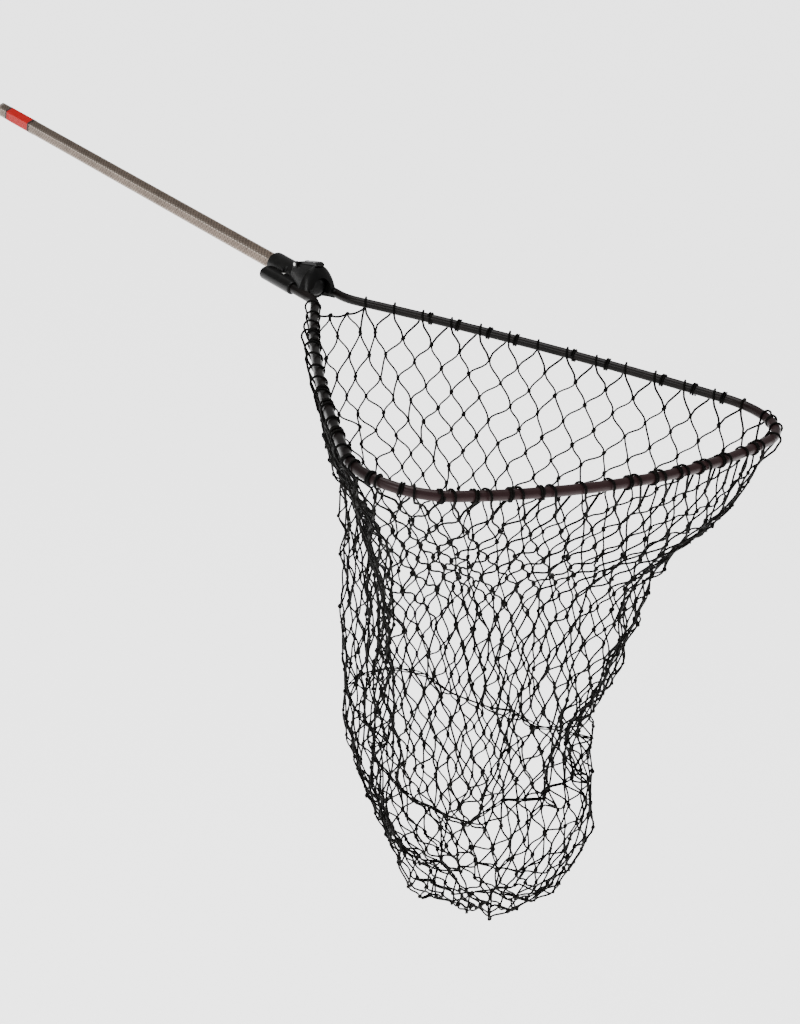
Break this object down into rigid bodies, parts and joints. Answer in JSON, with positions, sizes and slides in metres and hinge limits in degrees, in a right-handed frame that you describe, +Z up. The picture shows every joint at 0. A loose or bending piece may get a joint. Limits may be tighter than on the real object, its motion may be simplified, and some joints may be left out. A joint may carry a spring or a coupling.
{
  "type": "landing net",
  "caption": "Landing net with a bent-tube hoop, knotted net bag and a hexagonal handle that slides through a yoke with a cam lever lock.",
  "frame": {"origin": "on the handle's axis, at the yoke's rear face", "axes": "+X forward along the handle's axis from the hand to the hoop, +Z up and square to the hoop's plane"},
  "size_m": [1.5986, 0.6586, 0.7914],
  "materials": {
    "bronze_aluminium": "anodised, rolled diamond knurl",
    "bronze_plastic": "satin",
    "black_plastic": "semi-gloss moulded",
    "bright_steel": "zinc plated",
    "red_film": "printed film, plain",
    "dark_aluminium": "dark brown-black anodised",
    "black_rubber": "matte",
    "black_twine": "knotted nylon twine"
  },
  "bodies": {
    "handle": {"handle_tube": "bronze_aluminium", "butt_cap": "bronze_plastic", "front_plug": "black_plastic", "plug_pin": "bright_steel", "grip_label": "red_film"},
    "net_frame": {"brake_pad": "black_rubber", "clamp_nuts": "bright_steel", "clamp_screws": "bright_steel", "hoop_tube": "dark_aluminium", "leg_pins": "bright_steel", "lever_pin": "bright_steel", "net_base": "black_twine", "net_wall": "black_twine", "pin_clip": "bright_steel", "rim_loops": "black_twine", "seam_cord": "black_twine", "yoke_bottom_shell": "black_plastic", "yoke_top_shell": "black_plastic"},
    "lever": {"lock_lever": "black_plastic"}
  },
  "joints": [
    {"name": "handle_slide", "type": "slide", "parent": "handle", "child": "net_frame", "axis": [-1, 0, 0], "range_m": [0, 0.62]},
    {"name": "lever_pivot", "type": "hinge", "parent": "net_frame", "child": "lever", "pos_m": [0.06, 0, 0.019], "axis": [0, -1, 0], "range_deg": [0, 75]}
  ]
}
